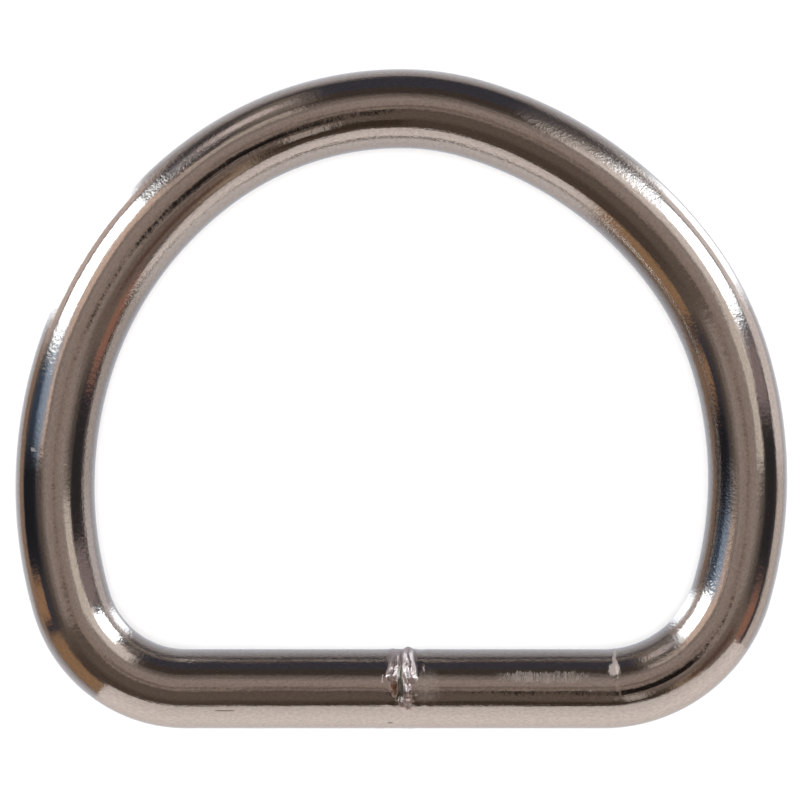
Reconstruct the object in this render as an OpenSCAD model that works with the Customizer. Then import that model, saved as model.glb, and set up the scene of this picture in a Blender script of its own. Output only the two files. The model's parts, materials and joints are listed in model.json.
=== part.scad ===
// D ring bent from round rod, its two ends butt welded in the middle of the straight bar.
// It lies flat: the bar runs along X on the -Y side, the bow bulges towards +Y, and Z is the thickness.
// The origin is under the middle of the ring, on the surface that it lies on. Lengths are in millimetres.

/* [Rod and opening] */
// Diameter of the round rod
rod_d = 5; // [3:0.1:6]
// Clear width inside the ring, for the strap
inside_w = 38.7; // [32:0.1:50]
// Clear height inside the ring, from the bar to the top of the bow
inside_h = 31.6; // [27:0.1:42]

/* [Corners] */
// Inside radius of the corner at the bar's right end
right_corner_r = 5.9; // [4:0.1:8]
// Inside radius of the corner at the bar's left end, which is bent a little tighter
left_corner_r = 5; // [4:0.1:8]

/* [Weld] */
// Gap between the rod's two ends, seen as the groove in the weld
weld_gap = 0.25; // [0.15:0.05:0.5]
// Depth of that groove below the rod's surface
groove_depth = 0.3; // [0.1:0.05:0.6]
// Width along the bar of the larger bead, right of the groove
bead_w = 1.1; // [0.8:0.1:2]
// Width along the bar of the smaller bead, left of the groove
small_bead_w = 0.8; // [0.5:0.1:1.2]
// How far the beads stand proud of the rod where they are highest, inside the ring and on its face
bead_rise = 0.25; // [0.15:0.05:0.4]
// Diameter of the pit beside the larger bead
pit_d = 0.8; // [0.5:0.1:1.2]

/* [Hidden] */
$fn = 96;
rod_colour = "silver";
rod_r = rod_d / 2;

// A heading is the rod's direction in degrees: 0 along the bar, 90 at the widest point, 180 at the top of the bow.
TOP = 180;
// Every heading where a bend ends is built from the 3-4-5 triangle's angle, because the sines and cosines
// of such turns are short decimals: then the ends of two stretches meet exactly.
t345 = atan2(3, 4);
// Where the corners end and the sides start, and where the sides end and the bow starts
corner_end = 2 * t345;
side_end = TOP - 2 * t345;
// Bends of each half of the bow: [heading where the bend ends, radius as a share of the half's bow radius]
RIGHT_BOW = [[90 + t345, 1], [90 + 2 * t345, 1.25], [TOP, 0.8]];
LEFT_BOW = [[TOP - t345, 1], [TOP, 0.85]];

// Half width and height of the rod's centreline
half_w = inside_w / 2 + rod_r;
run_h = inside_h + rod_d;
bar_y = -run_h / 2;
// How far each bend reaches into the stretch after it, a hair, so that the two join without a seam
bend_lap = 0.0001;

// Where the weld stands highest and has its pit, as a turn about the bar: between the inner side and the face
WELD_TURN = [45, 0, 0];
// How far a bead's ring lies off the rod's centre, so that it sinks into the rod on its far side
bead_shift = 0.7 * bead_rise;
// How far each bead laps over the groove
bead_lap = weld_gap / 5;
// Length of the core that joins the rod's ends
core_l = 2 * bead_w;

function sum(list, i = 0) = i < len(list) ? list[i] + sum(list, i + 1) : 0;
function start_of(bow, i) = i == 0 ? side_end : bow[i - 1][0];
// How far the bow's half reaches in from its start, and how far it climbs, for a bow radius of 1
function reach(bow) = sum([for (i = [0 : len(bow) - 1]) bow[i][1] * (sin(start_of(bow, i)) - sin(bow[i][0]))]);
function climb(bow) = sum([for (i = [0 : len(bow) - 1]) bow[i][1] * (cos(start_of(bow, i)) - cos(bow[i][0]))]);

// The side's radius and the bow's radius that together give one half of the ring its width and its height
function side_and_bow_r(corner_r, bow) =
    let (
        above_corner = run_h - corner_r * (1 - cos(corner_end)),
        side_reach = 1 - sin(side_end),
        side_climb = cos(corner_end) - cos(side_end),
        det = side_reach * climb(bow) - side_climb * reach(bow)
    )
    [
        (half_w * climb(bow) - above_corner * reach(bow)) / det,
        (above_corner * side_reach - half_w * side_climb) / det
    ];

// The stretches of one half, from the weld to the top of the bow: [length, 0] for the bar, then [radius, turn]
function half_ring(corner_r, bow) =
    let (
        r = side_and_bow_r(corner_r, bow),
        bar_l = half_w - corner_r * sin(corner_end) - r[0] * (1 - sin(corner_end))
    )
    concat(
        [[bar_l - weld_gap / 2, 0], [corner_r, corner_end], [r[0], side_end - corner_end]],
        [for (i = [0 : len(bow) - 1]) [r[1] * bow[i][1], bow[i][0] - start_of(bow, i)]]
    );

right_half = half_ring(right_corner_r + rod_r, RIGHT_BOW);
left_half = half_ring(left_corner_r + rod_r, LEFT_BOW);
// The whole rod, from its end right of the weld round to its end left of it
RUN = concat(right_half, [for (i = [len(left_half) - 1 : -1 : 0]) left_half[i]]);

// A half space behind the plane x = 0, wide enough to cut any bend
module behind() {
    size = 4 * (half_w + run_h);
    translate([-size, -size / 2, -size / 2]) cube(size);
}

// One bend: a ring of round section round its centre, kept between the planes of its two ends
module bend(radius, turn) {
    difference() {
        rotate_extrude() translate([radius, 0]) circle(rod_r);
        behind();
        rotate([0, 0, turn]) translate([bend_lap, 0, 0]) mirror([1, 0, 0]) behind();
    }
}

// The rod from stretch i on. Each stretch starts at the origin, heads along +X and turns towards +Y.
module rod(i = 0) {
    if (i < len(RUN)) {
        size = RUN[i][0];
        turn = RUN[i][1];
        if (turn == 0) {
            rotate([0, 90, 0]) cylinder(r = rod_r, h = size);
            translate([size, 0, 0]) rod(i + 1);
        } else {
            translate([0, size, 0]) {
                bend(size, turn);
                rotate([0, 0, turn]) translate([0, -size, 0]) rod(i + 1);
            }
        }
    }
}

// A raised ring of weld metal round the bar, its middle at x
module bead(x, w) {
    rotate(WELD_TURN) translate([x, bead_shift, 0]) rotate([0, 90, 0])
        rotate_extrude() translate([rod_r + bead_rise - bead_shift - w / 2, 0]) circle(w / 2);
}

// A pit blown into the rod beside the larger bead, a little over a third of its diameter deep
module pit() {
    rotate(WELD_TURN) translate([weld_gap / 2 + bead_w, rod_r + pit_d / 8, 0]) sphere(d = pit_d);
}

// Weld metal: a core that joins the rod's ends, and a bead on each side of the groove
module weld() {
    translate([-core_l / 2, 0, 0]) rotate([0, 90, 0]) cylinder(r = rod_r - groove_depth, h = core_l);
    bead((weld_gap + bead_w) / 2 - bead_lap, bead_w);
    bead(bead_lap - (weld_gap + small_bead_w) / 2, small_bead_w);
}

module d_ring() {
    color(rod_colour) translate([0, bar_y, rod_r]) difference() {
        union() {
            translate([weld_gap / 2, 0, 0]) rod();
            weld();
        }
        pit();
    }
}

d_ring();
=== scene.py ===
"""A welded D ring of nickel plated steel rod, lying on a pale floor in a small photo studio.

Lengths in this file are millimetres unless a name or a line says otherwise, and MM turns them to
metres. The ring is one piece: a round rod bent to a D, its two ends butt welded in the middle of the
straight bar. Places on the rod's surface are given by two lengths: along the rod from the weld, round
the ring counter-clockwise as seen from above, and around the rod from the middle of its upper face,
positive towards the inside of the ring.
"""

import json
import math

import bpy
import numpy as np
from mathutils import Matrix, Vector


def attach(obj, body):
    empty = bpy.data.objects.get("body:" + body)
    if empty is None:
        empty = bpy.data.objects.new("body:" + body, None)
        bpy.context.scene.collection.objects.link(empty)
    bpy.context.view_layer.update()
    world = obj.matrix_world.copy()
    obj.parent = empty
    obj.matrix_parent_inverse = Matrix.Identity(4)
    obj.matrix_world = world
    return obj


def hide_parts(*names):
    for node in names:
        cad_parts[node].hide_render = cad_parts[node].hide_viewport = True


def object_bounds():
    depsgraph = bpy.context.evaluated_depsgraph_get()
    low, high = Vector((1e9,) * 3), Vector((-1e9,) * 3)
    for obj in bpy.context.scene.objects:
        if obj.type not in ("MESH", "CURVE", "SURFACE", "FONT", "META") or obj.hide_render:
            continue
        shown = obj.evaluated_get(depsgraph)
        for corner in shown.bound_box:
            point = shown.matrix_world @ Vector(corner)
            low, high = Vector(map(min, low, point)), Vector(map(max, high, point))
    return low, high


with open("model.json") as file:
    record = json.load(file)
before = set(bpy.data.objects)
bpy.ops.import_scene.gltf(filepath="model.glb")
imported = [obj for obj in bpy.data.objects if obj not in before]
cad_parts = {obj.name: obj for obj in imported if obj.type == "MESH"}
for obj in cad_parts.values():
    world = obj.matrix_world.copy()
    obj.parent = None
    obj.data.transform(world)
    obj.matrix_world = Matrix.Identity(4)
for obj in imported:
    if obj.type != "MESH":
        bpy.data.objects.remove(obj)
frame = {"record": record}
CAD_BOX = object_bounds()

bl_info = {
    "name": "Welded D ring",
    "version": (1, 0, 0),
    "blender": (4, 5, 0),
    "location": "3D View > Sidebar > D Ring",
    "description": "Makes a nickel plated, butt welded D ring and the studio that it lies in",
    "category": "Add Mesh",
}

MM = 0.001
MOUNTS = {mount["name"]: mount for mount in frame["record"]["mounts"]}
STRAP_BAR = MOUNTS["strap_bar"]
BOW_EYE = MOUNTS["bow_eye"]
ROD_RADIUS_M = STRAP_BAR["dims"]["r_mm"] * MM
OUTER_WIDTH_M = CAD_BOX[1].x - CAD_BOX[0].x

# A heading is the rod's direction in degrees: 0 along the bar, 90 at the widest point, 180 at the top.
# Every heading where a bend ends is built from the smaller angle of the 3-4-5 triangle.
TOP = 180.0
BEND_STEP = math.degrees(math.atan2(3, 4))
CORNER_END = 2 * BEND_STEP
SIDE_END = TOP - 2 * BEND_STEP
# Bends of each half of the bow: the heading where the bend ends, and its radius as a share of the
# half's bow radius
RIGHT_BOW = [(90 + BEND_STEP, 1.0), (90 + 2 * BEND_STEP, 1.25), (TOP, 0.8)]
LEFT_BOW = [(TOP - BEND_STEP, 1.0), (TOP, 0.85)]


def linear(code):
    """A colour from its sRGB hex code, as linear red, green, blue and alpha."""
    parts = [int(code[i : i + 2], 16) / 255 for i in (0, 2, 4)]
    lit = [c / 12.92 if c <= 0.04045 else ((c + 0.055) / 1.055) ** 2.4 for c in parts]
    return (*lit, 1.0)


class DRingSizes(bpy.types.PropertyGroup):
    """Sizes of the ring and its weld."""

    rod_diameter: bpy.props.FloatProperty(
        name="Rod diameter",
        description="Diameter of the round rod",
        default=2 * ROD_RADIUS_M,
        subtype="DISTANCE",
        unit="LENGTH",
    )
    clear_width: bpy.props.FloatProperty(
        name="Clear width",
        description="Width inside the ring, for the strap",
        default=OUTER_WIDTH_M - 4 * ROD_RADIUS_M,
        subtype="DISTANCE",
        unit="LENGTH",
    )
    clear_height: bpy.props.FloatProperty(
        name="Clear height",
        description="Height inside the ring, from the bar to the top of the bow",
        default=BOW_EYE["pos_m"][1] - STRAP_BAR["pos_m"][1] - 2 * ROD_RADIUS_M,
        subtype="DISTANCE",
        unit="LENGTH",
    )
    right_corner_radius: bpy.props.FloatProperty(
        name="Right corner radius",
        description="Inside radius of the corner at the bar's right end",
        default=5.9 * MM,
        subtype="DISTANCE",
        unit="LENGTH",
    )
    left_corner_radius: bpy.props.FloatProperty(
        name="Left corner radius",
        description="Inside radius of the corner at the bar's left end, which is bent a little tighter",
        default=5.0 * MM,
        subtype="DISTANCE",
        unit="LENGTH",
    )
    weld_gap: bpy.props.FloatProperty(
        name="Weld gap",
        description="Width of the groove between the two beads of the weld",
        default=0.25 * MM,
        subtype="DISTANCE",
        unit="LENGTH",
    )
    groove_depth: bpy.props.FloatProperty(
        name="Groove depth",
        description="Depth of that groove below the rod's surface",
        default=0.3 * MM,
        subtype="DISTANCE",
        unit="LENGTH",
    )
    bead_rise: bpy.props.FloatProperty(
        name="Bead rise",
        description="How far the weld stands proud of the rod where it is highest",
        default=0.25 * MM,
        subtype="DISTANCE",
        unit="LENGTH",
    )


class DRingColours(bpy.types.PropertyGroup):
    """Colours of the ring and of the studio."""

    nickel: bpy.props.FloatVectorProperty(
        name="Nickel",
        description="Bright nickel plating",
        default=linear("d3cbc1"),
        size=4,
        min=0.0,
        max=1.0,
        subtype="COLOR",
    )
    heat_tint: bpy.props.FloatVectorProperty(
        name="Heat tint",
        description="Brown oxide that the plating has not covered, left of the weld's groove",
        default=linear("80562f"),
        size=4,
        min=0.0,
        max=1.0,
        subtype="COLOR",
    )
    # Soot in the weld's groove, and the same colour painted as the shade of small pits
    groove_soot_and_pit_shade: bpy.props.FloatVectorProperty(
        name="Soot",
        description="What the plating has not covered in the weld's groove",
        default=linear("8b8779"),
        size=4,
        min=0.0,
        max=1.0,
        subtype="COLOR",
    )
    cast_nickel: bpy.props.FloatVectorProperty(
        name="Cast nickel",
        description="Plating on the rough weld, which is a little pinker than on the drawn rod",
        default=linear("d8cac4"),
        size=4,
        min=0.0,
        max=1.0,
        subtype="COLOR",
    )
    scrape: bpy.props.FloatVectorProperty(
        name="Scrape",
        description="Metal scraped by a file or a tool's edge",
        default=linear("d0b9b4"),
        size=4,
        min=0.0,
        max=1.0,
        subtype="COLOR",
    )
    # The board's colour, given to the painted lamp light that it glows with
    paper_board: bpy.props.FloatVectorProperty(
        name="Paper board",
        description="The beige board that stands in front of the ring and shows in it",
        default=linear("c4b6ad"),
        size=4,
        min=0.0,
        max=1.0,
        subtype="COLOR",
    )
    floor: bpy.props.FloatVectorProperty(
        name="Floor",
        description="Matt paper that the ring lies on",
        default=linear("f0f0f0"),
        size=4,
        min=0.0,
        max=1.0,
        subtype="COLOR",
    )
    backdrop: bpy.props.FloatVectorProperty(
        name="Backdrop",
        description="What is behind the floor's far edge",
        default=linear("f4f4f4"),
        size=4,
        min=0.0,
        max=1.0,
        subtype="COLOR",
    )


def cleared_nodes(owner):
    """The empty node tree of a new material or world."""
    owner.use_nodes = True
    owner.node_tree.nodes.clear()
    return owner.node_tree


def add(tree, kind, settings, inputs, output=0):
    """Adds a node with its settings and its inputs, sockets or values, and returns one output."""
    made = tree.nodes.new(kind)
    for name, value in settings.items():
        setattr(made, name, value)
    for name, value in inputs.items():
        if isinstance(value, bpy.types.NodeSocket):
            tree.links.new(value, made.inputs[name])
        else:
            made.inputs[name].default_value = value
    return made.outputs[output] if made.outputs else made


def bow_reach_and_climb(bow):
    """How far a bow half reaches in from its start, and how far it climbs, for a bow radius of 1."""
    reach = climb = 0.0
    heading = math.radians(SIDE_END)
    for end, share in bow:
        end = math.radians(end)
        reach += share * (math.sin(heading) - math.sin(end))
        climb += share * (math.cos(heading) - math.cos(end))
        heading = end
    return reach, climb


def half_ring(half_width, height, corner_radius, bow):
    """The stretches of one half, from the weld to the top, as (length, radius, start, end).

    The radius of a straight stretch is None, and start and end are the headings of its two ends.
    """
    reach, climb = bow_reach_and_climb(bow)
    corner, side = math.radians(CORNER_END), math.radians(SIDE_END)
    above_corner = height - corner_radius * (1 - math.cos(corner))
    side_reach = 1 - math.sin(side)
    side_climb = math.cos(corner) - math.cos(side)
    det = side_reach * climb - side_climb * reach
    side_radius = (half_width * climb - above_corner * reach) / det
    bow_radius = (above_corner * side_reach - half_width * side_climb) / det
    bar = half_width - corner_radius * math.sin(corner) - side_radius * (1 - math.sin(corner))
    bends = [(corner_radius, CORNER_END), (side_radius, SIDE_END)]
    bends += [(bow_radius * share, end) for end, share in bow]
    stretches = [(bar, None, 0.0, 0.0)]
    start = 0.0
    for radius, end in bends:
        stretches.append((radius * math.radians(end - start), radius, start, end))
        start = end
    return stretches


def walk(stretches, distance):
    """Place and heading, in radians, at each distance from the weld along one half of the ring."""
    place = np.zeros((len(distance), 2))
    heading = np.zeros(len(distance))
    x = y = begun = 0.0
    for length, radius, start, end in stretches:
        here = distance >= begun
        gone = distance[here] - begun
        start, end = math.radians(start), math.radians(end)
        if radius is None:
            place[here] = np.stack([x + gone, np.full(len(gone), y)], axis=1)
            heading[here] = 0.0
            x += length
        else:
            turned = start + gone / radius
            place[here, 0] = x + radius * (np.sin(turned) - math.sin(start))
            place[here, 1] = y + radius * (math.cos(start) - np.cos(turned))
            heading[here] = turned
            x += radius * (math.sin(end) - math.sin(start))
            y += radius * (math.cos(start) - math.cos(end))
        begun += length
    return place, heading


class Centreline:
    """The rod's centreline, from the weld round the ring and back to the weld, in millimetres."""

    def __init__(self, sizes):
        self.rod_radius = sizes.rod_diameter / 2 / MM
        half_width = sizes.clear_width / 2 / MM + self.rod_radius
        self.height = sizes.clear_height / MM + 2 * self.rod_radius
        right = sizes.right_corner_radius / MM + self.rod_radius
        left = sizes.left_corner_radius / MM + self.rod_radius
        self.right = half_ring(half_width, self.height, right, RIGHT_BOW)
        self.left = half_ring(half_width, self.height, left, LEFT_BOW)
        self.right_length = sum(stretch[0] for stretch in self.right)
        self.length = self.right_length + sum(stretch[0] for stretch in self.left)

    def at(self, along):
        """Centre and outward direction in the ring's plane at each length along the rod."""
        on_right = along <= self.right_length
        place, heading = walk(self.right, np.where(on_right, along, 0.0))
        mirrored, turned = walk(self.left, np.where(on_right, 0.0, self.length - along))
        side = np.where(on_right, 1.0, -1.0)
        centre = np.where(on_right[:, None], place, mirrored)
        heading = np.where(on_right, heading, turned)
        centre = np.stack([side * centre[:, 0], centre[:, 1] - self.height / 2], axis=1)
        outward = np.stack([side * np.sin(heading), -np.cos(heading)], axis=1)
        return centre, outward


# The rod's mesh is fine this far to each side of the weld, and at the mark that a tool has scored
WELD_REACH = 2.3
WELD_STEP = 0.035
SCORE_AT = 13.42
SCORE_REACH = 0.6
SCORE_STEP = 0.06
PLAIN_STEP = 0.33
PLAIN_SIDES = 96
WELD_SIDES = 4 * PLAIN_SIDES
# The least divisor where the weld is held within the rod's own reach
LEAST_BEYOND = 0.1

# Noise on the weld: how far apart its bumps are, and the seed of their places
LUMPS = (0.7, 11)
FINE_LUMPS = (0.28, 12)
WANDER = (1.6, 13)
# How many waves make the noise, and their lengths as shares of the distance between its bumps
CRUMPLE_WAVES = 28
CRUMPLE_SPREAD = (0.7, 1.6)
# How far the weld's edges wander, how much its lumps change its height, and how high the fine ones are
WANDER_BY = 0.05
LUMP_SHARE = 0.12
FINE_LUMP_HEIGHT = 0.007
# The weld's face, where its own ridges take the place of the plain beads: its middle around the rod,
# and how far from that middle the beads begin to show, and where they show in full
FACE_MIDDLE = 0.9
FACE_FADE = (2.6, 3.8)
# The plain beads that run all the way round: middle and half width along the rod, and height as a share
# of the bead's rise
RIGHT_BEAD = (0.55, 0.6, 0.5)
LEFT_BEAD = (-0.5, 0.55, 0.2)
# They are highest at this place around the rod and sink away on its far side: the share of their height
# that they have all round, and the share that swings between more and less
BEADS_HIGHEST = 1.9
BEAD_LEAN = (0.45, 0.55)
# The weld's ridges, as (along, around, height as a share of the bead's rise), and how wide each is to
# both sides: the crest that runs down to the right of the groove, the lower one that runs down to its
# left, and what is left of both below them
RIGHT_CREST = [
    (0.46, 4.6, 0.2),
    (0.45, 3.8, 0.6),
    (0.42, 2.7, 0.85),
    (0.46, 1.8, 1.05),
    (0.54, 1.3, 1.0),
    (0.68, 0.8, 0.8),
]
LEFT_CREST = [(-0.32, 2.9, 0.1), (-0.38, 2.2, 0.5), (-0.4, 1.7, 0.7), (-0.62, 0.94, 0.7)]
LOWER_STUB = [(0.4, 0.3, 0.35), (0.38, -0.1, 0.55), (0.4, -0.45, 0.4)]
DROP = [(0.14, -0.75, 0.35), (0.12, -1.0, 0.4), (0.3, -1.2, 0.25)]
RIDGES = [(RIGHT_CREST, 0.42), (LEFT_CREST, 0.44), (LOWER_STUB, 0.26), (DROP, 0.28)]
# The groove's place along the rod, and how much wider than the weld's gap its slopes reach
GROOVE_AT = -0.05
GROOVE_BLUR = 0.02
# Its depth and how much deeper it is low on the face, as shares of its full depth, and between which
# places around the rod it grows shallower, starts and closes. It was ground flush below the drop, and
# closes towards the ring's inside.
GROOVE_SUNK = (0.22, 0.4)
GROOVE_DEEPENS = (0.4, 1.0)
GROOVE_STARTS = (-0.75, -0.35)
GROOVE_CLOSES = (2.1, 3.1)
# Hollows, as (centre along and around, reach both ways, height, lean in degrees): the one right of the
# crest, its raised rim, the notch inside the ring, and what is sunk beside the groove and below it
HOLLOWS = [
    ((1.1, 1.5), (0.44, 0.6), -0.05, 0.0),
    ((1.46, 1.35), (0.035, 0.4), 0.006, 10.0),
    ((1.12, 3.85), (0.36, 0.6), -0.14, 0.0),
    ((-0.42, 0.05), (0.26, 0.55), -0.07, 0.0),
    ((0.72, -0.5), (0.16, 0.3), -0.06, 0.0),
    ((0.92, -0.21), (0.1, 0.13), -0.05, 0.0),
    ((-0.69, -2.44), (0.2, 0.09), -0.05, 0.0),
    ((-1.3, -3.6), (0.4, 0.22), -0.06, 0.0),
]
# Grinding round the weld: its middle along the rod, where it fades out, and how much of the lumps and of
# the fine lumps it has left
GROUND_MIDDLE = 0.35
GROUND_FADE = (0.8, 1.9)
GROUND_HEIGHTS = (0.003, 0.001)
# Everything on the weld fades out over the last stretch of its fine mesh
WELD_FADE = 0.5

# The mark where a tool's edge slipped over the rod. Seen from above, its top, middle and bottom are this
# far off the rod's middle line.
SCORE_SEEN = (2.45, 1.66, 0.85)
# The thin cut: where it is along the rod at these three, how far it runs on, half its width, its depth
# at the three as shares, and its full depth
SCORE_CUT_AT = (13.6, 13.56, 13.6)
SCORE_CUT_RUNS_ON = 1.2
SCORE_CUT_SHARES = (1.0, 1.0, 0.2)
SCORE_CUT_REACH = 0.14
SCORE_CUT_DEPTH = 0.03
# The wider flat below it: reach both ways and depth
SCORE_FLAT_REACH = (0.42, 0.62)
SCORE_FLAT_DEPTH = 0.035


def crumple(points, wave, seed):
    """Smooth noise of about unit height whose bumps are about a wave apart, the same on each run."""
    rng = np.random.default_rng(seed)
    directions = rng.normal(size=(CRUMPLE_WAVES, 3))
    directions /= np.linalg.norm(directions, axis=1)[:, None]
    waves = wave * rng.uniform(*CRUMPLE_SPREAD, CRUMPLE_WAVES)
    phases = rng.uniform(0, 2 * math.pi, CRUMPLE_WAVES)
    angles = points @ (directions / waves[:, None]).T * 2 * math.pi + phases
    return np.sin(angles).sum(axis=1) * math.sqrt(2 / CRUMPLE_WAVES)


def face_to_around(across, rod_radius):
    """A length around the rod from the distance off its middle that is seen from above."""
    return rod_radius * math.asin(max(-1.0, min(1.0, across / rod_radius)))


def step_down(value, low, high):
    """1 below low, 0 above high, and smooth between them."""
    share = np.clip((high - value) / (high - low), 0, 1)
    return share * share * (3 - 2 * share)


def hump(off):
    """1 at 0, and falling to 0 at 1 and at -1 like a wave."""
    return 0.5 + 0.5 * np.cos(math.pi * np.clip(off, -1, 1))


def mound(x, y, centre, reach, height, lean=0.0):
    """A smooth oval mound, or a hollow if its height is negative, turned by lean in degrees."""
    turn = math.radians(lean)
    u = (x - centre[0]) * math.cos(turn) + (y - centre[1]) * math.sin(turn)
    v = (y - centre[1]) * math.cos(turn) - (x - centre[0]) * math.sin(turn)
    away = np.sqrt((u / reach[0]) ** 2 + (v / reach[1]) ** 2)
    return height * np.clip(1 - away**2, 0, 1) ** 1.5


def ridge(x, y, line, reach):
    """A ridge along a line of (x, y, height) points, as a smooth wave reach wide to each side."""
    best = np.zeros(len(x))
    for (x0, y0, h0), (x1, y1, h1) in zip(line, line[1:]):
        dx, dy = x1 - x0, y1 - y0
        share = np.clip(((x - x0) * dx + (y - y0) * dy) / (dx * dx + dy * dy), 0, 1)
        away = np.hypot(x - x0 - share * dx, y - y0 - share * dy) / reach
        best = np.maximum(best, (h0 + share * (h1 - h0)) * hump(away))
    return best


def weld_relief(along, around, points, sizes):
    """How far the weld lifts the rod's surface, in millimetres, by place on the surface."""
    rise = sizes.bead_rise / MM
    depth = sizes.groove_depth / MM
    half_gap = sizes.weld_gap / MM / 2
    rough = crumple(points, *LUMPS)
    fine = crumple(points, *FINE_LUMPS)
    bent = along + WANDER_BY * crumple(points, *WANDER)
    face = step_down(np.abs(around - FACE_MIDDLE), *FACE_FADE)

    # The plain beads, which the face's own ridges replace
    least, more = BEAD_LEAN
    lean = least + more * np.cos((around - BEADS_HIGHEST) / (sizes.rod_diameter / 2 / MM))
    plain = [
        share * rise * lean * hump((bent - middle) / half_width)
        for middle, half_width, share in (RIGHT_BEAD, LEFT_BEAD)
    ]
    lift = np.maximum(*plain) * (1 - face)

    for crest, reach in RIDGES:
        line = [(x, y, share * rise) for x, y, share in crest]
        lift = np.maximum(lift, ridge(along, around, line, reach))
    raised = np.clip(2 * lift / rise, 0, 1)
    lift = lift * (1 + LUMP_SHARE * rough) + FINE_LUMP_HEIGHT * fine * raised

    closed = np.maximum(step_down(around, *GROOVE_STARTS), 1 - step_down(around, *GROOVE_CLOSES))
    sunk, more = GROOVE_SUNK
    deep = (sunk + more * step_down(around, *GROOVE_DEEPENS)) * depth
    slope = np.exp(-(((bent - GROOVE_AT) / (half_gap + GROOVE_BLUR)) ** 2))
    lift = lift - deep * slope * (1 - closed)
    for centre, reach, height, turned in HOLLOWS:
        lift += mound(along, around, centre, reach, height, turned)

    near = step_down(np.abs(along - GROUND_MIDDLE), *GROUND_FADE)
    lift += near * (GROUND_HEIGHTS[0] * rough + GROUND_HEIGHTS[1] * fine)
    return lift * step_down(np.abs(along), WELD_REACH - WELD_FADE, WELD_REACH)


def score_relief(along, around, rod_radius):
    """How far the tool's mark sinks the surface: a thin cut, and a wider flat below it."""
    top, middle, bottom = (face_to_around(seen, rod_radius) for seen in SCORE_SEEN)
    line = list(zip(SCORE_CUT_AT, (top, middle, bottom - SCORE_CUT_RUNS_ON), SCORE_CUT_SHARES))
    cut = ridge(along, around, line, SCORE_CUT_REACH)
    flat = mound(along, around, (SCORE_AT, (middle + bottom) / 2), SCORE_FLAT_REACH, 1.0)
    return -SCORE_CUT_DEPTH * cut - SCORE_FLAT_DEPTH * flat


def stations(length):
    """Lengths along the rod where its mesh has a ring, and how many sides each ring has."""
    marks = [
        (0.0, WELD_REACH, WELD_STEP, WELD_SIDES),
        (WELD_REACH, SCORE_AT - SCORE_REACH, PLAIN_STEP, PLAIN_SIDES),
        (SCORE_AT - SCORE_REACH, SCORE_AT + SCORE_REACH, SCORE_STEP, PLAIN_SIDES),
        (SCORE_AT + SCORE_REACH, length - WELD_REACH, PLAIN_STEP, PLAIN_SIDES),
        (length - WELD_REACH, length, WELD_STEP, WELD_SIDES),
    ]
    places, sides = [], []
    for start, end, step, count in marks:
        made = np.linspace(start, end, max(2, round((end - start) / step) + 1))[:-1]
        places.append(made)
        sides += [count] * len(made)
    places = np.concatenate(places)
    # Two rings of twice the plain sides lead from the fine mesh to the plain one
    for i in range(1, len(sides)):
        if sides[i] == PLAIN_SIDES and sides[i - 1] == WELD_SIDES:
            sides[i] = 2 * PLAIN_SIDES
        if sides[i] == WELD_SIDES and sides[i - 1] == PLAIN_SIDES:
            sides[i - 1] = 2 * PLAIN_SIDES
    return places, sides


def bridge(first, second):
    """Faces between two rings, where one may have twice the other's sides.

    Each corner of a face is given as which ring it is on, 0 or 1, and which of that ring's sides.
    """
    faces = []
    if first == second:
        for j in range(first):
            faces.append([(0, j), (0, j + 1), (1, j + 1), (1, j)])
    elif second == 2 * first:
        for j in range(first):
            faces.append([(0, j), (1, 2 * j + 1), (1, 2 * j)])
            faces.append([(0, j), (0, j + 1), (1, 2 * j + 1)])
            faces.append([(0, j + 1), (1, 2 * j + 2), (1, 2 * j + 1)])
    else:
        for j in range(second):
            faces.append([(0, 2 * j), (0, 2 * j + 1), (1, j)])
            faces.append([(0, 2 * j + 1), (1, j + 1), (1, j)])
            faces.append([(0, 2 * j + 1), (0, 2 * j + 2), (1, j + 1)])
    return faces


def ring_mesh(sizes):
    """The whole ring as one closed mesh, with a map of lengths along and around the rod."""
    line = Centreline(sizes)
    radius = line.rod_radius
    places, sides = stations(line.length)
    first = np.concatenate([[0], np.cumsum(sides)])
    along = np.repeat(places, sides)
    turn = np.concatenate([np.arange(n) / n * 2 * math.pi for n in sides])
    # A turn of 0 is the outside of the ring, a quarter turn its face and a half turn its inside
    around = radius * (turn - math.pi / 2)
    signed = np.where(along > line.length / 2, along - line.length, along)
    straight = np.stack([signed, radius * np.cos(turn), radius * np.sin(turn)], axis=1)
    wrapped = np.where(around > radius * math.pi, around - 2 * math.pi * radius, around)

    lift = np.zeros(len(along))
    near = np.abs(signed) < WELD_REACH
    lift[near] = weld_relief(signed[near], wrapped[near], straight[near], sizes)
    marked = np.abs(along - SCORE_AT) < SCORE_REACH
    lift[marked] += score_relief(along[marked], wrapped[marked], radius)

    # Outside the ring and below it, where the weld was ground flush, it stays within the rod's own reach
    beyond = np.maximum(np.maximum(np.cos(turn), -np.sin(turn)), LEAST_BEYOND)
    reach = np.minimum(radius + lift, radius / beyond)
    centre, outward = line.at(along)
    corners = np.empty((len(along), 3))
    corners[:, :2] = centre + outward * (reach * np.cos(turn))[:, None]
    corners[:, 2] = radius + reach * np.sin(turn)

    faces, spots = [], []
    shapes = {}
    for i, count in enumerate(sides):
        after = (i + 1) % len(sides)
        pair = (count, sides[after])
        if pair not in shapes:
            shapes[pair] = bridge(*pair)
        ends = (places[i], places[after] if after else line.length)
        for shape in shapes[pair]:
            faces.append([first[(i, after)[k]] + j % pair[k] for k, j in shape])
            for k, j in shape:
                spots.append((ends[k], radius * (j / pair[k] * 2 * math.pi - math.pi / 2)))

    mesh = bpy.data.meshes.new("d_ring_rod")
    mesh.from_pydata((corners * MM).tolist(), [], faces)
    mesh.shade_smooth()
    rod_map = mesh.uv_layers.new(name="rod_map")
    rod_map.data.foreach_set("uv", np.array(spots, np.float32).ravel())
    mesh.validate()
    return mesh


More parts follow.
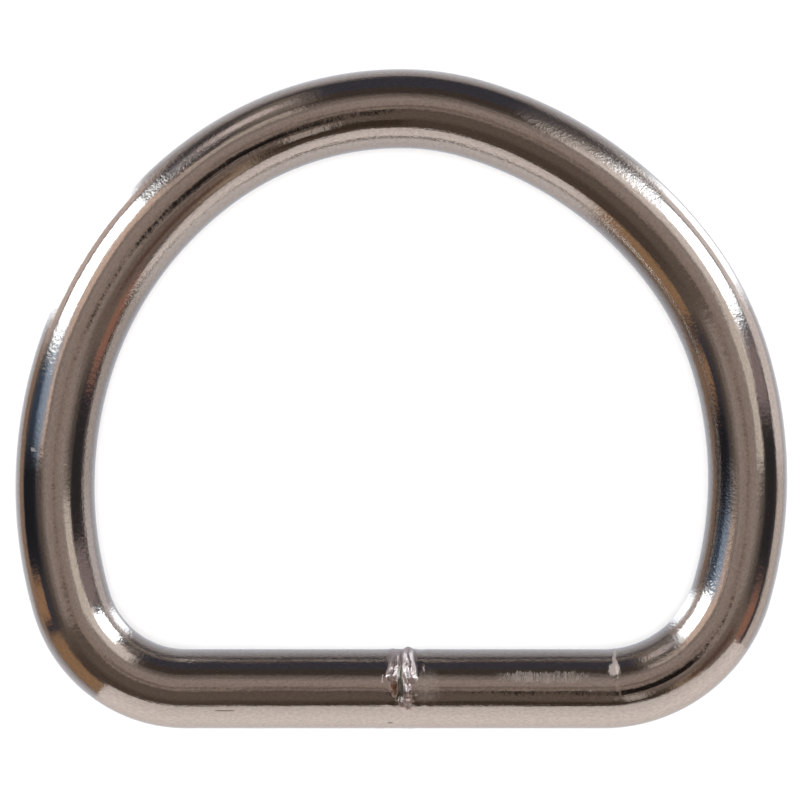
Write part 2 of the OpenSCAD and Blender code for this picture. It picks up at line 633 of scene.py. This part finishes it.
def spot(tree, place, centre, reach, soft):
    """1 in a rounded box, given by its centre and its reach both ways, 0 outside, and a soft edge."""
    shrunk = (1 / reach[0], 1 / reach[1], 0.0)
    off = add(tree, "ShaderNodeVectorMath", {"operation": "SUBTRACT"}, {0: place, 1: (*centre, 0.0)})
    off = add(tree, "ShaderNodeVectorMath", {"operation": "MULTIPLY"}, {0: off, 1: shrunk})
    off = add(tree, "ShaderNodeVectorMath", {"operation": "MULTIPLY"}, {0: off, 1: off})
    away = add(tree, "ShaderNodeVectorMath", {"operation": "LENGTH"}, {0: off}, "Value")
    edge = {"Value": away, "From Min": 1 + soft, "From Max": 1 - soft}
    return add(tree, "ShaderNodeMapRange", {"interpolation_type": "SMOOTHSTEP"}, edge)


def largest(tree, values):
    """The largest of several values."""
    best = values[0]
    for value in values[1:]:
        best = add(tree, "ShaderNodeMath", {"operation": "MAXIMUM"}, {0: best, 1: value})
    return best


# Patterns of the plating: the size of a bump in millimetres, how the pattern is shrunk along the rod,
# inwards and up, which draws its bumps out, and the noise's detail and roughness.
# Lines from the drawing die, centimetres long, drawn four to five to the millimetre so that they show
DIE_LINES = (1 / 4.5, (0.03, 1.0, 1.0), 3.0, 0.6)
# Fine grain, which is coarser than the plating's own crystals, because those are too fine to show
GRAIN = (1 / 6.5, (0.8, 1.0, 1.0), 2.0, 0.6)
# Orange peel, its bumps about 0.4 mm apart
PEEL = (1 / 2.4, (1.0, 0.8, 0.8), 2.0, 0.55)
# The rod's own slow waviness over 5 mm
WAVE = (5.0, (1.0, 1.0, 1.0), 1.0, 0.5)
# Haze, where the plating is a little brighter or duller from one tenth of a millimetre to the next
HAZE = (1 / 7.0, (0.6, 1.0, 1.0), 2.0, 0.7)
# Crazing, which is small steep facets, a fifth of a millimetre across
CRAZING = (1 / 5.5, (1.0, 1.0, 1.0), 3.0, 0.7)
# The edges of all marks, which are frayed by a few tenths of a millimetre
FRAY = (1 / 3.0, (1.0, 0.4, 0.4), 3.0, 0.65)
# Scratches of a file or a grinding wheel, which run across the rod, a tenth of a millimetre apart
SCRATCHES = (1 / 9.0, (1.0, 0.12, 0.12), 2.0, 0.6)

# What noise is in the middle of its range
NOISE_MIDDLE = (0.5, 0.5, 0.5)
# Where in the noise's range a scratch is faintest and where it is full, and how faint that is. The same
# for oxide that the plating has partly covered, and where haze starts and ends.
SCRATCH_SHOWS = (0.3, 0.65, 0.35)
OXIDE_SHOWS = (0.35, 0.6, 0.4)
HAZE_RANGE = (0.3, 0.7)

# Heights of the patterns in micrometres
DIE_LINE_HEIGHT = 6.0
PEEL_HEIGHT = 5.5
WAVE_HEIGHT = 65.0
CRAZED_HEIGHT = 26.0
CAST_HEIGHT = 14.0
CUT_HEIGHT = 12.0
# The grain grows coarser between these two places around the rod, because no polishing wheel reaches the
# inside of the ring
GRAIN_GROWS = (1.2, 2.0)
GRAIN_HEIGHTS = (2.6, 13.0)
MICROMETRE = 0.001 * MM

# How much the plating's haze lightens or darkens it
HAZE_SHARE = 0.1
# How far marks fray along the rod and around it
FRAYED_BY = (0.5, 0.8, 0.0)
# Roughness of untouched plating, and what the weld, cuts and crazing add to it at most
PLATING_ROUGHNESS = 0.09
CAST_ROUGHNESS = 0.3
CUT_ROUGHNESS = 0.3
CRAZED_ROUGHNESS = 0.03
# How deep scuffs, grinding and nicks are cut, as shares of file marks, and how faint the faint ones are
SCUFF_SHARE = 0.2
GROUND_SHARE = 0.5
NICK_SHARE = 0.4
FAINT_SHARE = 0.5
# How pale file marks, grinding, the score mark and nicks are, and how much metal the palest place hides
FILED_PALE = 0.07
GROUND_PALE = 0.06
SCORE_PALE = 0.37
NICK_PALE = 0.25
PALE_HIDES = 0.8

# Marks on the rod: centre along and around, reach both ways, and how soft the edge is.
# Where bending has stretched or squeezed the surface until it crazed, with its strength instead
CRAZED = [
    ((54.0, -1.8), (5.0, 0.9), 0.8),
    ((40.0, -1.8), (2.6, 0.8), 0.35),
    ((80.0, -1.8), (3.0, 0.8), 0.5),
    ((96.0, -1.7), (4.2, 0.8), 0.4),
    ((27.5, 1.4), (5.0, 0.7), 0.4),
    ((17.8, 1.6), (1.6, 0.7), 0.5),
]
CRAZED_SOFT = 0.5
# Where the rod was filed right of the weld, and scuffed
FILED = ((9.0, 0.86), (2.9, 0.34), 0.5)
FILED_FAINT = ((12.4, 0.8), (1.2, 0.3), 0.6)
SCUFF = ((12.55, -0.25), (0.95, 0.5), 0.5)
# Where a tool's edge has scored it, with its strength instead
SCORE = [
    ((13.46, 1.42), (0.38, 0.45), 1.0),
    ((13.58, 2.15), (0.17, 0.45), 0.9),
    ((13.68, 2.75), (0.15, 0.5), 0.75),
    ((13.8, 3.25), (0.12, 0.35), 0.5),
    ((13.62, 0.2), (0.05, 0.8), 0.12),
]
SCORE_SOFT = 0.6
NICKS = [
    ((11.84, 0.0), (0.05, 0.05), 0.4),
    ((99.85, -1.42), (0.1, 0.2), 0.4),
    ((131.61, 0.82), (0.05, 0.25), 0.4),
]
# Small dark specks of painted shade, where little pits in the plating look dark, in the soot's colour
PAINTED_PIT_SHADE_SPECKS = [
    ((121.7, -1.33), (0.6, 0.05), 0.6),
    ((132.1, -2.44), (0.17, 0.06), 0.6),
]
# Marks at the weld: its cast surface above and below, the grinding, the brown oxide, the groove's soot
CAST = [
    ((0.05, 1.95), (0.95, 2.2), 0.25),
    ((0.25, -0.7), (0.4, 0.65), 0.4),
]
GROUND = ((1.6, 0.35), (0.7, 0.95), 0.6)
BROWNED = ((-0.44, 0.12), (0.2, 0.5), 0.4)
SOOTY = ((-0.05, 0.5), (0.16, 1.2), 0.7)


def bright_nickel(colours, rod_radius, length):
    """Bright nickel electroplated on drawn steel rod.

    The plating copies the steel below it: long fine lines from the drawing die, orange peel that grows
    coarse where a bend has stretched the rod, and the file marks right of the weld. It is a warm grey
    mirror where nothing has touched it, and duller on the weld, where the steel below was left as cast.
    """
    material = bpy.data.materials.new("bright_nickel_on_drawn_steel")
    tree = cleared_nodes(material)

    rod_map = add(tree, "ShaderNodeUVMap", {"uv_map": "rod_map"}, {})
    along = add(tree, "ShaderNodeSeparateXYZ", {}, {0: rod_map}, "X")
    around = add(tree, "ShaderNodeSeparateXYZ", {}, {0: rod_map}, "Y")
    turn = add(tree, "ShaderNodeMath", {"operation": "DIVIDE"}, {0: around, 1: rod_radius})
    cosine = add(tree, "ShaderNodeMath", {"operation": "COSINE"}, {0: turn})
    sine = add(tree, "ShaderNodeMath", {"operation": "SINE"}, {0: turn})
    up = add(tree, "ShaderNodeMath", {"operation": "MULTIPLY"}, {0: cosine, 1: rod_radius})
    inward = add(tree, "ShaderNodeMath", {"operation": "MULTIPLY"}, {0: sine, 1: rod_radius})
    # The rod as if it were straight, for patterns that run along it and have no seam around it
    straight = add(tree, "ShaderNodeCombineXYZ", {}, {0: along, 1: inward, 2: up})
    half = length / 2
    signed = add(tree, "ShaderNodeMath", {"operation": "WRAP"}, {0: along, 1: half, 2: -half})
    near_weld = add(tree, "ShaderNodeCombineXYZ", {}, {0: signed, 1: around})

    def noise(pattern, output="Fac"):
        """Noise on the straight rod for one of the plating's patterns."""
        size, shrunk, detail, roughness = pattern
        place = add(tree, "ShaderNodeVectorMath", {"operation": "MULTIPLY"}, {0: straight, 1: shrunk})
        inputs = {"Vector": place, "Scale": 1 / size, "Detail": detail, "Roughness": roughness}
        return add(tree, "ShaderNodeTexNoise", {}, inputs, output)

    def scaled(value, share):
        """A value times a share."""
        return add(tree, "ShaderNodeMath", {"operation": "MULTIPLY"}, {0: value, 1: share})

    def total(values):
        """The sum of several values."""
        summed = values[0]
        for value in values[1:]:
            summed = add(tree, "ShaderNodeMath", {"operation": "ADD"}, {0: summed, 1: value})
        return summed

    def spread(value, low, high, least=0.0, most=1.0):
        """A value's range from low to high, turned to one from least to most."""
        limits = {"From Min": low, "From Max": high, "To Min": least, "To Max": most}
        return add(tree, "ShaderNodeMapRange", {}, {"Value": value, **limits})

    def mixed(share, under, over):
        """One colour over another by a share."""
        inputs = {"Factor": share, 6: under, 7: over}
        return add(tree, "ShaderNodeMix", {"data_type": "RGBA"}, inputs, 2)

    drawn = noise(DIE_LINES)
    grain = noise(GRAIN)
    peel = noise(PEEL)
    wave = noise(WAVE)
    haze = noise(HAZE)
    crazing = noise(CRAZING)
    crazed = largest(tree, [
        scaled(spot(tree, rod_map, centre, reach, CRAZED_SOFT), strength)
        for centre, reach, strength in CRAZED
    ])
    fray = noise(FRAY, "Color")
    fray = add(tree, "ShaderNodeVectorMath", {"operation": "SUBTRACT"}, {0: fray, 1: NOISE_MIDDLE})
    fray = add(tree, "ShaderNodeVectorMath", {"operation": "MULTIPLY"}, {0: fray, 1: FRAYED_BY})
    frayed = add(tree, "ShaderNodeVectorMath", {"operation": "ADD"}, {0: rod_map, 1: fray})
    frayed_weld = add(tree, "ShaderNodeVectorMath", {"operation": "ADD"}, {0: near_weld, 1: fray})
    scratches = noise(SCRATCHES)
    lines = spread(scratches, *SCRATCH_SHOWS)
    faint = scaled(spot(tree, frayed, *FILED_FAINT), FAINT_SHARE)
    filed = scaled(largest(tree, [spot(tree, frayed, *FILED), faint]), lines)
    scuffed = spot(tree, frayed, *SCUFF)
    ground = scaled(spot(tree, frayed_weld, *GROUND), lines)
    score = largest(tree, [
        scaled(spot(tree, frayed, centre, reach, SCORE_SOFT), strength)
        for centre, reach, strength in SCORE
    ])
    nicks = largest(tree, [spot(tree, frayed, *nick) for nick in NICKS])
    cut = largest(tree, [
        filed,
        scaled(scuffed, SCUFF_SHARE),
        scaled(ground, GROUND_SHARE),
        score,
        scaled(nicks, NICK_SHARE),
    ])
    cast = largest(tree, [spot(tree, frayed_weld, *place) for place in CAST])

    heights = total([
        scaled(drawn, DIE_LINE_HEIGHT),
        scaled(grain, spread(around, *GRAIN_GROWS, *GRAIN_HEIGHTS)),
        scaled(peel, PEEL_HEIGHT),
        scaled(wave, WAVE_HEIGHT),
        scaled(scaled(crazing, crazed), CRAZED_HEIGHT),
        scaled(scaled(crazing, cast), CAST_HEIGHT),
        scaled(scaled(scratches, cut), CUT_HEIGHT),
    ])
    relief = {"Height": heights, "Distance": MICROMETRE, "Strength": 1.0}
    normal = add(tree, "ShaderNodeBump", {}, relief)

    dull = largest(tree, [
        scaled(cast, CAST_ROUGHNESS),
        scaled(cut, CUT_ROUGHNESS),
        scaled(crazed, CRAZED_ROUGHNESS),
    ])
    roughness = total([dull, PLATING_ROUGHNESS])

    # Oxide left of the groove and in it, broken up as the plating took in some places only
    browned = scaled(spot(tree, frayed_weld, *BROWNED), spread(crazing, *OXIDE_SHOWS))
    # Painted shade: dark specks where little pits look dark, mixed in with the groove's soot
    painted_pit_shade = [spot(tree, rod_map, *speck) for speck in PAINTED_PIT_SHADE_SPECKS]
    soot_and_painted_pit_shade = largest(tree, [spot(tree, near_weld, *SOOTY), *painted_pit_shade])
    hazy = spread(haze, *HAZE_RANGE, 1 - HAZE_SHARE, 1 + HAZE_SHARE)
    plated = {0: tuple(colours.nickel)[:3], "Scale": hazy}
    colour = add(tree, "ShaderNodeVectorMath", {"operation": "SCALE"}, plated)
    colour = mixed(cast, colour, tuple(colours.cast_nickel))
    colour = mixed(browned, colour, tuple(colours.heat_tint))
    colour = mixed(soot_and_painted_pit_shade, colour, tuple(colours.groove_soot_and_pit_shade))
    # Scraped metal scatters the whole room's light, because its scratches are too fine to show one by
    # one, so it is drawn as a pale matt coat
    pale = largest(tree, [
        scaled(filed, FILED_PALE),
        scaled(ground, GROUND_PALE),
        scaled(score, SCORE_PALE),
        scaled(nicks, NICK_PALE),
    ])
    colour = mixed(pale, colour, tuple(colours.scrape))
    hidden = {0: pale, 1: -PALE_HIDES, 2: 1.0}
    metallic = add(tree, "ShaderNodeMath", {"operation": "MULTIPLY_ADD"}, hidden)

    shader = add(tree, "ShaderNodeBsdfPrincipled", {}, {
        "Base Color": colour,
        "Metallic": metallic,
        "Roughness": roughness,
        "Normal": normal,
    })
    add(tree, "ShaderNodeOutputMaterial", {}, {"Surface": shader})
    return material


# The room as the ring mirrors it. Directions are in degrees: bearing runs from +X towards +Y, and tilt
# is measured from straight up, so 90 is the horizon. BANDS gives the room's colour all round by tilt.
BANDS = [
    (0, "7b6a60"), (9, "7f6e64"), (14, "7f6f66"), (24, "82736b"), (33, "6c5f57"), (42, "50463f"),
    (52, "3d3532"), (66, "343136"), (92, "302c2e"), (103, "504743"), (113, "857b77"), (128, "9b9593"),
    (150, "b0abaa"), (180, "c8c6c5"),
]
# What stands in the room: name, bearing, half its width, tilt from and to, softness of its edges, colour
# and strength. Colours are as the nickel shows them, and later ones lie over earlier ones.
PATCHES = [
    ("dark_ceiling", 252, 46, 3, 60, 10, "55483f", 1),
    ("dark_ceiling_overhead", 262, 40, 3, 12, 5, "54473f", 1),
    ("overhead_shade", 90, 38, 0, 8, 4, "61544c", 1),
    ("lamp_boom", 299, 17.5, 4, 20, 2.5, "120e0c", 1),
    ("lamp_boom_tip", 317, 6, 4, 11, 2.5, "1c1713", 1),
    ("soffit", 266, 50, 32, 76, 14, "43372f", 1),
    ("soffit_end", 285, 15, 35, 52, 5, "33281f", 1),
    ("shelf_wall", 320, 21, 22, 66, 14, "62534a", 1),
    ("shelf_side", 304, 5, 36, 60, 7, "84705f", 1),
    ("red_shelf", 316, 13, 38, 50, 7, "503b32", 1),
    ("ceiling_strip", 287, 3.5, 24, 40, 4, "988a81", 1),
    ("doorway", 86, 21, 50, 104, 12, "343136", 1),
    ("doorway_lintel", 86, 21, 44, 63, 8, "382f2a", 1),
    ("doorway_side", 112, 6, 50, 94, 8, "675c53", 1),
    ("wall_by_doorway", 57, 8, 50, 88, 8, "554c48", 1),
    ("easel_top", 47, 4, 52, 63, 5, "b5a599", 1),
    ("easel_middle", 52, 3.5, 60, 71, 5, "93857b", 1),
    ("easel_foot", 58, 3, 69, 82, 5, "6e625b", 1),
    ("right_frame", 37, 25, 33, 60, 9, "c0b2a8", 1),
    ("right_frame_end", 13, 13, 26, 46, 7, "b3a598", 1),
    ("right_flag", -2, 11, 52, 82, 9, "262322", 1),
    ("right_post", 14, 6, 52, 86, 6, "766663", 1),
    ("left_frame", 154, 22, 35, 54, 7, "baa090", 1),
    ("left_frame_end", 121, 12, 35, 46, 6, "9c8d82", 1),
    ("pale_panel", 119, 8, 63, 80, 8, "b5a49d", 1),
    ("window_glow", 168, 8, 46, 70, 12, "7c8897", 1),
    ("window_sill", 168, 8, 70, 92, 12, "2f3a48", 1),
    ("left_flag", 184, 8, 58, 104, 8, "1b1b1e", 1),
    ("amber_post", 197, 4, 72, 108, 5, "84634a", 1),
    ("amber_wall", 221, 14, 62, 106, 7, "7f6148", 1),
    ("table_edge_left", 182, 24, 106, 124, 14, "7d6453", 1),
    ("red_post", 335, 9, 60, 82, 8, "7e594a", 1),
    ("table_edge_right", 350, 30, 93, 122, 10, "a8998f", 1),
    ("table_by_right_softbox", 25, 24, 91, 124, 8, "bcaea7", 1),
    ("table_by_left_softbox", 147, 14, 92, 116, 8, "ae9b91", 1),
    ("right_softbox", 35.5, 9.8, 53, 85, 6, "ffffff", 2.5),
    ("left_softbox", 148, 11, 54, 87, 5, "fffdfa", 2.5),
    ("right_softbox_on_table", 37, 9, 110, 146, 9, "ffffff", 1.5),
    ("left_softbox_on_table", 147, 10, 114, 175, 7, "ffffff", 1.5),
]
# The beige board glows with painted lamp light, as no lamp lights it. Its place in front of the ring's
# middle, its left and right side and its lower and upper edge
BOARD_AT = -89.0
BOARD_SIDES = (-70.0, 132.0)
BOARD_HEIGHTS = (-150.0, 72.0)
# Over how much of its height it fades out at its upper edge, and how bright its painted light is at
# each height, which is painted shade that darkens it towards its upper and lower ends
BOARD_FADE = 14.0
BOARD_PAINTED_SHADE = [(-80.0, 0.85), (-15.0, 1.0), (0.0, 1.0), (72.0, 0.76)]
# What is left of the table's light inside the ring, where the rod shades it
SHADE_INSIDE = (0.78, 0.79, 0.81, 1.0)
# The most that two bearings can differ
HALF_TURN = 180.0


def nickel_shows(colour, nickel, strength=1.0):
    """The light that a thing must send out so that the nickel shows it in this colour."""
    lit = [c / n * strength for c, n in zip(colour[:3], nickel)]
    return (*lit, 1.0)


def studio_room(colours):
    """The room round the table, which lights the ring and shows in it.

    Rays that don't come off a glossy surface meet a pale backdrop instead.
    """
    world = bpy.data.worlds.new("studio_room")
    tree = cleared_nodes(world)
    toward = add(tree, "ShaderNodeTexCoord", {}, {}, "Generated")
    x = add(tree, "ShaderNodeSeparateXYZ", {}, {0: toward}, "X")
    y = add(tree, "ShaderNodeSeparateXYZ", {}, {0: toward}, "Y")
    z = add(tree, "ShaderNodeSeparateXYZ", {}, {0: toward}, "Z")
    bearing = add(tree, "ShaderNodeMath", {"operation": "ARCTAN2"}, {0: y, 1: x})
    bearing = add(tree, "ShaderNodeMath", {"operation": "DEGREES"}, {0: bearing})
    tilt = add(tree, "ShaderNodeMath", {"operation": "ARCCOSINE"}, {0: z})
    tilt = add(tree, "ShaderNodeMath", {"operation": "DEGREES"}, {0: tilt})

    def within(value, low, high, most=1.0):
        """Runs smoothly from 0 at low to most at high, which may be the lesser of the two."""
        limits = {"Value": value, "From Min": low, "From Max": high, "To Max": most}
        return add(tree, "ShaderNodeMapRange", {"interpolation_type": "SMOOTHSTEP"}, limits)

    def over(share, under, code, label="", strength=1.0):
        """A colour as the nickel shows it, over what is there already."""
        tone = nickel_shows(linear(code), colours.nickel, strength)
        settings = {"data_type": "RGBA", "label": label}
        return add(tree, "ShaderNodeMix", settings, {"Factor": share, 6: under, 7: tone}, 2)

    room = nickel_shows(linear(BANDS[0][1]), colours.nickel)
    for (start, _), (end, code) in zip(BANDS, BANDS[1:]):
        share = add(tree, "ShaderNodeMapRange", {}, {"Value": tilt, "From Min": start, "From Max": end})
        room = over(share, room, code)
    for name, middle, half, start, end, soft, code, strength in PATCHES:
        edge = soft / 2
        off = add(tree, "ShaderNodeMath", {"operation": "SUBTRACT"}, {0: bearing, 1: middle})
        off = add(tree, "ShaderNodeMath", {"operation": "PINGPONG"}, {0: off, 1: HALF_TURN})
        inside = within(off, half + edge, half - edge)
        below = within(tilt, start - edge, start + edge, inside)
        shown = within(tilt, end + edge, end - edge, below)
        room = over(shown, room, code, name, strength)

    mirrored = add(tree, "ShaderNodeBackground", {}, {"Color": room})
    backdrop = add(tree, "ShaderNodeBackground", {}, {"Color": tuple(colours.backdrop)})
    glossy = add(tree, "ShaderNodeLightPath", {}, {}, "Is Glossy Ray")
    both = add(tree, "ShaderNodeMixShader", {}, {0: glossy, 1: backdrop, 2: mirrored})
    add(tree, "ShaderNodeOutputWorld", {}, {"Surface": both})
    # Only rays that leave the ring look into the room, so no ray is aimed at it
    world.cycles.sampling_method = "NONE"
    return world


def painted_light_board(colours):
    """Beige paper board drawn as a glow of painted lamp light, with painted shade that darkens it
    towards its upper and lower ends, and fading out at its upper edge.
    """
    material = bpy.data.materials.new("painted_lamp_light_board")
    tree = cleared_nodes(material)
    place = add(tree, "ShaderNodeTexCoord", {}, {}, "Object")
    height = add(tree, "ShaderNodeSeparateXYZ", {}, {0: place}, "Z")
    glow = BOARD_PAINTED_SHADE[0][1]
    for (start, _), (end, bright) in zip(BOARD_PAINTED_SHADE, BOARD_PAINTED_SHADE[1:]):
        glow = add(tree, "ShaderNodeMapRange", {}, {
            "Value": height,
            "From Min": start * MM,
            "From Max": end * MM,
            "To Min": glow,
            "To Max": bright,
        })
    beige = nickel_shows(colours.paper_board, colours.nickel)
    # Painted lamp light: the board glows, as no lamp in the scene lights it
    lit = add(tree, "ShaderNodeEmission", {}, {"Color": beige, "Strength": glow})
    clear = add(tree, "ShaderNodeBsdfTransparent", {}, {})
    top = BOARD_HEIGHTS[1] * MM
    limits = {"Value": height, "From Min": top - BOARD_FADE * MM, "From Max": top}
    fade = add(tree, "ShaderNodeMapRange", {"interpolation_type": "SMOOTHSTEP"}, limits)
    both = add(tree, "ShaderNodeMixShader", {}, {0: fade, 1: lit, 2: clear})
    add(tree, "ShaderNodeOutputMaterial", {}, {"Surface": both})
    return material


def shaded_air():
    """No surface at all, only the shade that the rod casts on the table inside the ring."""
    material = bpy.data.materials.new("shade_inside_the_ring")
    tree = cleared_nodes(material)
    veil = add(tree, "ShaderNodeBsdfTransparent", {}, {"Color": SHADE_INSIDE})
    add(tree, "ShaderNodeOutputMaterial", {}, {"Surface": veil})
    return material


# How far apart the bumps of the paper's tooth are, and how high
PAPER_TOOTH = 0.4
PAPER_TOOTH_HEIGHT = 0.003
PAPER_ROUGHNESS = 0.9


def matt_paper(colours):
    """Matt white photo paper: no gloss, and a tooth too fine to show, drawn coarser than it is."""
    material = bpy.data.materials.new("matt_white_paper")
    tree = cleared_nodes(material)
    place = add(tree, "ShaderNodeTexCoord", {}, {}, "Object")
    grain = {"Vector": place, "Scale": 1 / (PAPER_TOOTH * MM), "Detail": 2.0}
    tooth = add(tree, "ShaderNodeTexNoise", {}, grain)
    relief = {"Height": tooth, "Distance": PAPER_TOOTH_HEIGHT * MM, "Strength": 1.0}
    normal = add(tree, "ShaderNodeBump", {}, relief)
    shader = add(tree, "ShaderNodeBsdfPrincipled", {}, {
        "Base Color": tuple(colours.floor),
        "Roughness": PAPER_ROUGHNESS,
        "Specular IOR Level": 0.0,
        "Normal": normal,
    })
    add(tree, "ShaderNodeOutputMaterial", {}, {"Surface": shader})
    return material


def only_mirrored(scene, name, corners, material):
    """Adds a flat face to the stage that nothing but the ring's own reflections can see."""
    mesh = bpy.data.meshes.new(name)
    places = [tuple(c * MM for c in corner) for corner in corners]
    mesh.from_pydata(places, [], [list(range(len(places)))])
    mesh.materials.append(material)
    face = bpy.data.objects.new(name, mesh)
    scene.collection.objects.link(face)
    face.visible_camera = False
    face.visible_diffuse = False
    face.visible_shadow = False


class MESH_OT_d_ring(bpy.types.Operator):
    """Bends the rod to a D, welds its ends and plates it"""

    bl_idname = "mesh.d_ring"
    bl_label = "D Ring"
    bl_options = {"REGISTER", "UNDO"}

    def execute(self, context):
        sizes = context.scene.d_ring_sizes
        ring = bpy.data.objects.new("d_ring_rod", ring_mesh(sizes))
        context.scene.collection.objects.link(ring)
        line = Centreline(sizes)
        nickel = bright_nickel(context.scene.d_ring_colours, line.rod_radius, line.length)
        ring.data.materials.append(nickel)
        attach(ring, "root")
        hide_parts("d_ring")
        return {"FINISHED"}


# The floor, the veil of shade inside the ring, and the square softbox above
FLOOR_RADIUS = 3000.0
FLOOR_SIDES = 96
SHADE_SIDES = 120
SOFTBOX_SIDE = 900.0
SOFTBOX_HEIGHT = 800.0
SOFTBOX_WATTS = 9.0
# The camera looks straight down on the ring, through a long lens. The view's width is what it shows at
# the height of the rod's middle, and the view's centre is the place on the floor below it.
LENS = 250.0
SENSOR = 36.0
VIEW_WIDTH = 50.48
VIEW_CENTRE = (-0.085, -0.083)
# The camera sees nothing nearer than this
NEAREST_SEEN = 10.0


class SCENE_OT_d_ring_stage(bpy.types.Operator):
    """Lays the pale floor, hangs the softbox, sets the room and aims the camera"""

    bl_idname = "scene.d_ring_stage"
    bl_label = "Studio"
    bl_options = {"REGISTER", "UNDO"}

    def execute(self, context):
        scene = context.scene
        colours = scene.d_ring_colours
        radius = FLOOR_RADIUS * MM
        bpy.ops.mesh.primitive_circle_add(vertices=FLOOR_SIDES, radius=radius, fill_type="NGON")
        floor = context.object
        floor.name = "paper_floor"
        floor.data.materials.append(matt_paper(colours))
        # The ring mirrors the room's own table, so its reflections and shadow rays pass the paper
        floor.visible_glossy = False
        floor.visible_shadow = False

        # A board that glows with painted lamp light, which only the ring's reflections see
        left, right = BOARD_SIDES
        below, above = BOARD_HEIGHTS
        outline = [(left, below), (right, below), (right, above), (left, above)]
        corners = [(x, BOARD_AT, z) for x, z in outline]
        only_mirrored(scene, "beige_board", corners, painted_light_board(colours))
        line = Centreline(scene.d_ring_sizes)
        rim = line.at(np.linspace(0, line.length, SHADE_SIDES, endpoint=False))[0]
        only_mirrored(scene, "shade_inside", [(x, y, 0.0) for x, y in rim], shaded_air())

        lamp = bpy.data.lights.new("overhead_softbox", "AREA")
        lamp.shape = "SQUARE"
        lamp.size = SOFTBOX_SIDE * MM
        lamp.energy = SOFTBOX_WATTS
        softbox = bpy.data.objects.new("overhead_softbox", lamp)
        softbox.location = (0, 0, SOFTBOX_HEIGHT * MM)
        softbox.visible_glossy = False
        scene.collection.objects.link(softbox)

        scene.world = studio_room(colours)
        scene.view_settings.view_transform = "Standard"

        lens = bpy.data.cameras.new("camera")
        lens.lens = LENS
        lens.sensor_width = SENSOR
        lens.clip_start = NEAREST_SEEN * MM
        camera = bpy.data.objects.new("camera", lens)
        height = VIEW_WIDTH * LENS / SENSOR + scene.d_ring_sizes.rod_diameter / 2 / MM
        camera.location = Vector((*VIEW_CENTRE, height)) * MM
        scene.collection.objects.link(camera)
        scene.camera = camera
        return {"FINISHED"}


class VIEW3D_PT_d_ring(bpy.types.Panel):
    """Lists the ring's sizes and colours, and what makes each piece"""

    bl_idname = "VIEW3D_PT_d_ring"
    bl_label = "Welded D Ring"
    bl_space_type = "VIEW_3D"
    bl_region_type = "UI"
    bl_category = "D Ring"

    def draw(self, context):
        layout = self.layout
        for group in (context.scene.d_ring_sizes, context.scene.d_ring_colours):
            for name in group.bl_rna.properties.keys():
                if name not in ("rna_type", "name"):
                    layout.prop(group, name)
        for operator in OPERATORS:
            layout.operator(operator.bl_idname)


OPERATORS = [MESH_OT_d_ring, SCENE_OT_d_ring_stage]
CLASSES = [DRingSizes, DRingColours, *OPERATORS, VIEW3D_PT_d_ring]


def register():
    """Adds the ring's properties, operators and panel to Blender."""
    for made in CLASSES:
        bpy.utils.register_class(made)
    bpy.types.Scene.d_ring_sizes = bpy.props.PointerProperty(type=DRingSizes)
    bpy.types.Scene.d_ring_colours = bpy.props.PointerProperty(type=DRingColours)


def unregister():
    """Takes them away again."""
    del bpy.types.Scene.d_ring_colours
    del bpy.types.Scene.d_ring_sizes
    for made in reversed(CLASSES):
        bpy.utils.unregister_class(made)


def main():
    """Makes the ring and the studio."""
    register()
    bpy.ops.mesh.d_ring()
    bpy.ops.scene.d_ring_stage()


if __name__ == "__main__":
    main()
